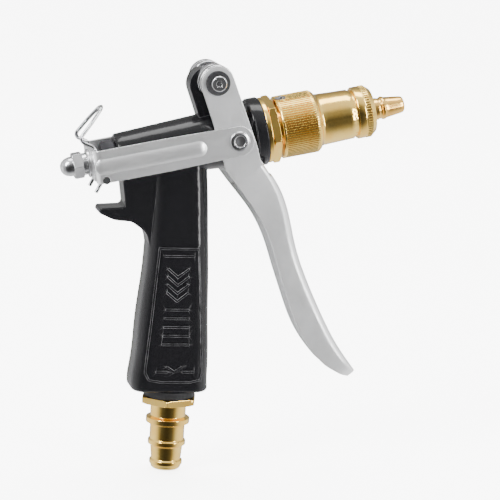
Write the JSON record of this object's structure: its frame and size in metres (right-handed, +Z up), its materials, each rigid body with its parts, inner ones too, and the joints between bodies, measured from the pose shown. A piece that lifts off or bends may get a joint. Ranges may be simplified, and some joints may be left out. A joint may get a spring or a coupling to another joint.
{
  "type": "hose_spray_nozzle",
  "caption": "Trigger spray gun for a garden hose: black cast grip, sheet steel lever and yoke pulling a valve stem, wire hold-open clip, twist-adjust brass nozzle, ringed brass hose tail.",
  "frame": {"origin": "Centre of the hose tail's open end face, on the grip axis.", "axes": "+X toward the spray outlet, +Y to the left of someone holding it and looking along +X, +Z up along the hose tail and grip."},
  "size_m": [0.1722, 0.0421, 0.2056],
  "materials": {
    "gloss_black": "cast aluminium alloy with a smooth gloss black coating",
    "brass": "turned and polished brass",
    "tip_brass": "turned brass, slightly redder",
    "zinc_sheet": "pressed sheet steel, satin bright plating",
    "steel": "machined steel, plated",
    "spring_steel": "bright drawn wire",
    "dark_steel": "blackened steel",
    "black_washer": "black washer",
    "black_rubber": "black rubber",
    "white_packing": "pale packing ring"
  },
  "bodies": {
    "frame": {"body_casting": "gloss_black", "hose_barb": "brass", "inlet_gasket": "black_rubber", "gland_nut": "dark_steel", "gland_packing": "white_packing", "valve_seat": "brass", "pivot_bolt": "steel", "pivot_nut": "steel", "pivot_washers": "black_washer", "pivot_spacers": "steel", "outlet_ring": "brass", "lock_nut": "brass", "outlet_core": "brass", "sleeve_seal": "black_rubber", "valve_spring": "spring_steel"},
    "lever": {"trigger_lever": "zinc_sheet", "yoke_rivets": "steel"},
    "pull": {"yoke": "zinc_sheet", "yoke_washer": "steel", "spring_washer": "spring_steel", "cap_nut": "steel", "stem_nut": "steel", "valve_stem": "steel", "spring_collar": "brass", "valve_disc": "black_rubber", "latch_pin": "steel"},
    "clip": {"latch_clip": "spring_steel"},
    "head": {"nozzle_sleeve": "brass", "set_screw": "steel", "nozzle_collar": "brass", "tip_gasket": "black_rubber", "jet_tip": "tip_brass"}
  },
  "joints": [
    {"name": "lever_pivot", "type": "hinge", "parent": "frame", "child": "lever", "pos_m": [0.013, 0, 0.197], "axis": [0, 1, 0], "range_deg": [0, 18]},
    {"name": "yoke_pull", "type": "slide", "parent": "frame", "child": "pull", "axis": [-0.9778, 0, -0.2096], "range_m": [0, 0.0098], "deforming": ["valve_spring"]},
    {"name": "clip_swing", "type": "hinge", "parent": "pull", "child": "clip", "pos_m": [-0.03959, 0, 0.14861], "axis": [0, 1, 0], "range_deg": [0, 28]},
    {"name": "nozzle_twist", "type": "hinge", "parent": "frame", "child": "head", "pos_m": [0.05867, 0, 0.17643], "axis": [0.9778, 0, 0.2096], "range_deg": [0, 360]}
  ],
  "couplings": [
    {"joint": "yoke_pull", "follows": "lever_pivot", "m_per_rad": 0.03055}
  ]
}
